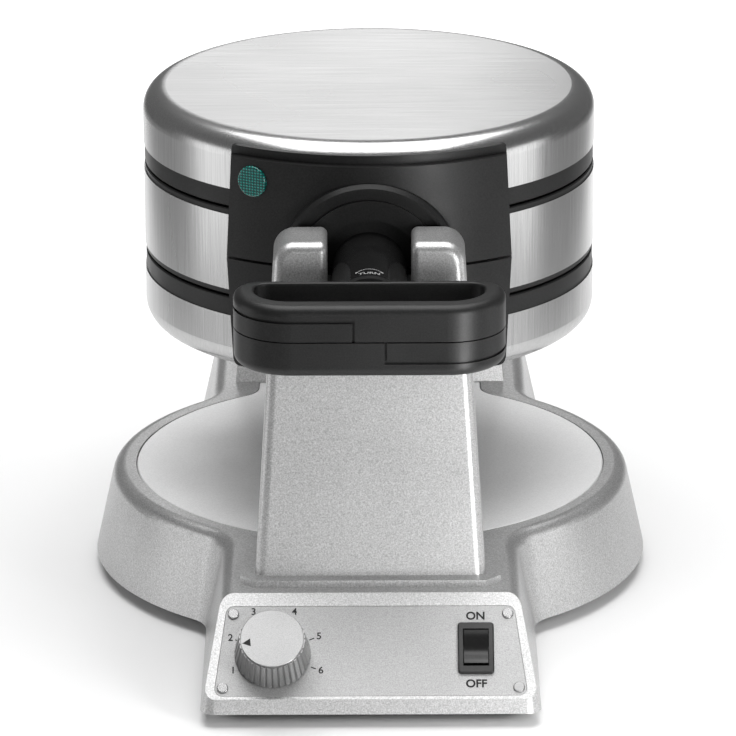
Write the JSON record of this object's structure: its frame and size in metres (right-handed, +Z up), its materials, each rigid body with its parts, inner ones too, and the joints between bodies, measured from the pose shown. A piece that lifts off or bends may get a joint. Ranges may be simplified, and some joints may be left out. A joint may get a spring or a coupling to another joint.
{
  "type": "rotating waffle maker",
  "caption": "Rotating double belgian waffle maker: round hinged-lid cooking head turned over by a loop handle between two columns on a round base.",
  "frame": {"origin": "on the table under the middle of the round base and of the cooking head", "axes": "+X to the right of someone standing at the controls, +Y from the controls to the rear column, +Z up"},
  "size_m": [0.244, 0.4113, 0.219],
  "materials": {
    "black_gloss": "black, polished",
    "black_plastic": "black phenolic, fine grain",
    "cast": "plain cast and turned aluminium",
    "green_lens": "clear green lens",
    "knob_silver": "silver painted",
    "mould": "dark non-stick coating on cast aluminium",
    "pin_steel": "turned steel",
    "rubber": "black rubber",
    "silver_paint": "silver metallic paint, satin",
    "steel": "brushed stainless"
  },
  "bodies": {
    "base": {"base_housing": "silver_paint", "base_plate": "black_plastic", "rubber_feet": "rubber", "base_screws": "pin_steel", "control_panel": "silver_paint", "panel_screws": "pin_steel", "browning_control": "black_plastic", "switch_frame": "black_gloss", "front_column": "silver_paint", "cradle_liner": "black_plastic", "rear_housing": "silver_paint", "rear_bush": "black_plastic", "cord_gland": "black_plastic"},
    "head": {"head_ring": "steel", "center_trim_upper": "black_plastic", "center_trim_lower": "black_plastic", "center_plate_upper": "mould", "center_plate_lower": "mould", "center_frame": "cast", "center_element": "pin_steel", "front_journal": "pin_steel", "rear_axle": "pin_steel", "hinge_block": "cast", "hinge_pins": "pin_steel", "axle_collar": "pin_steel", "lower_shell": "steel", "lower_trim": "black_plastic", "lower_plate": "mould", "lower_element": "pin_steel", "lower_front_panel": "black_plastic", "lower_lamp": "green_lens", "lower_handle": "black_plastic", "lower_hinge_arms": "cast"},
    "upper_lid": {"upper_shell": "steel", "upper_trim": "black_plastic", "upper_plate": "mould", "upper_element": "pin_steel", "upper_front_panel": "black_plastic", "upper_lamp": "green_lens", "upper_handle": "black_plastic", "upper_hinge_arms": "cast"},
    "tray": {"drip_tray": "silver_paint"},
    "knob": {"browning_knob": "knob_silver", "knob_cap": "silver_paint", "control_spindle": "pin_steel"},
    "rocker": {"switch_rocker": "black_gloss"}
  },
  "joints": [
    {"name": "head_turn", "type": "hinge", "parent": "base", "child": "head", "pos_m": [0, 0, 0.1665], "axis": [0, 1, 0], "range_deg": [-180, 0]},
    {"name": "upper_lid_open", "type": "hinge", "parent": "head", "child": "upper_lid", "pos_m": [0, 0.107, 0.1885], "axis": [-1, 0, 0], "range_deg": [0, 95]},
    {"name": "knob_turn", "type": "hinge", "parent": "base", "child": "knob", "pos_m": [-0.0406, -0.18612, 0.026], "axis": [0, -0.6644, 0.7474], "range_deg": [-200, 50]},
    {"name": "switch_rock", "type": "hinge", "parent": "base", "child": "rocker", "pos_m": [0.0436, -0.1836, 0.02663], "axis": [1, 0, 0], "range_deg": [-14, 0]},
    {"name": "tray_lift", "type": "slide", "parent": "base", "child": "tray", "axis": [0, 0, 1], "range_m": [0, 0.012]}
  ]
}
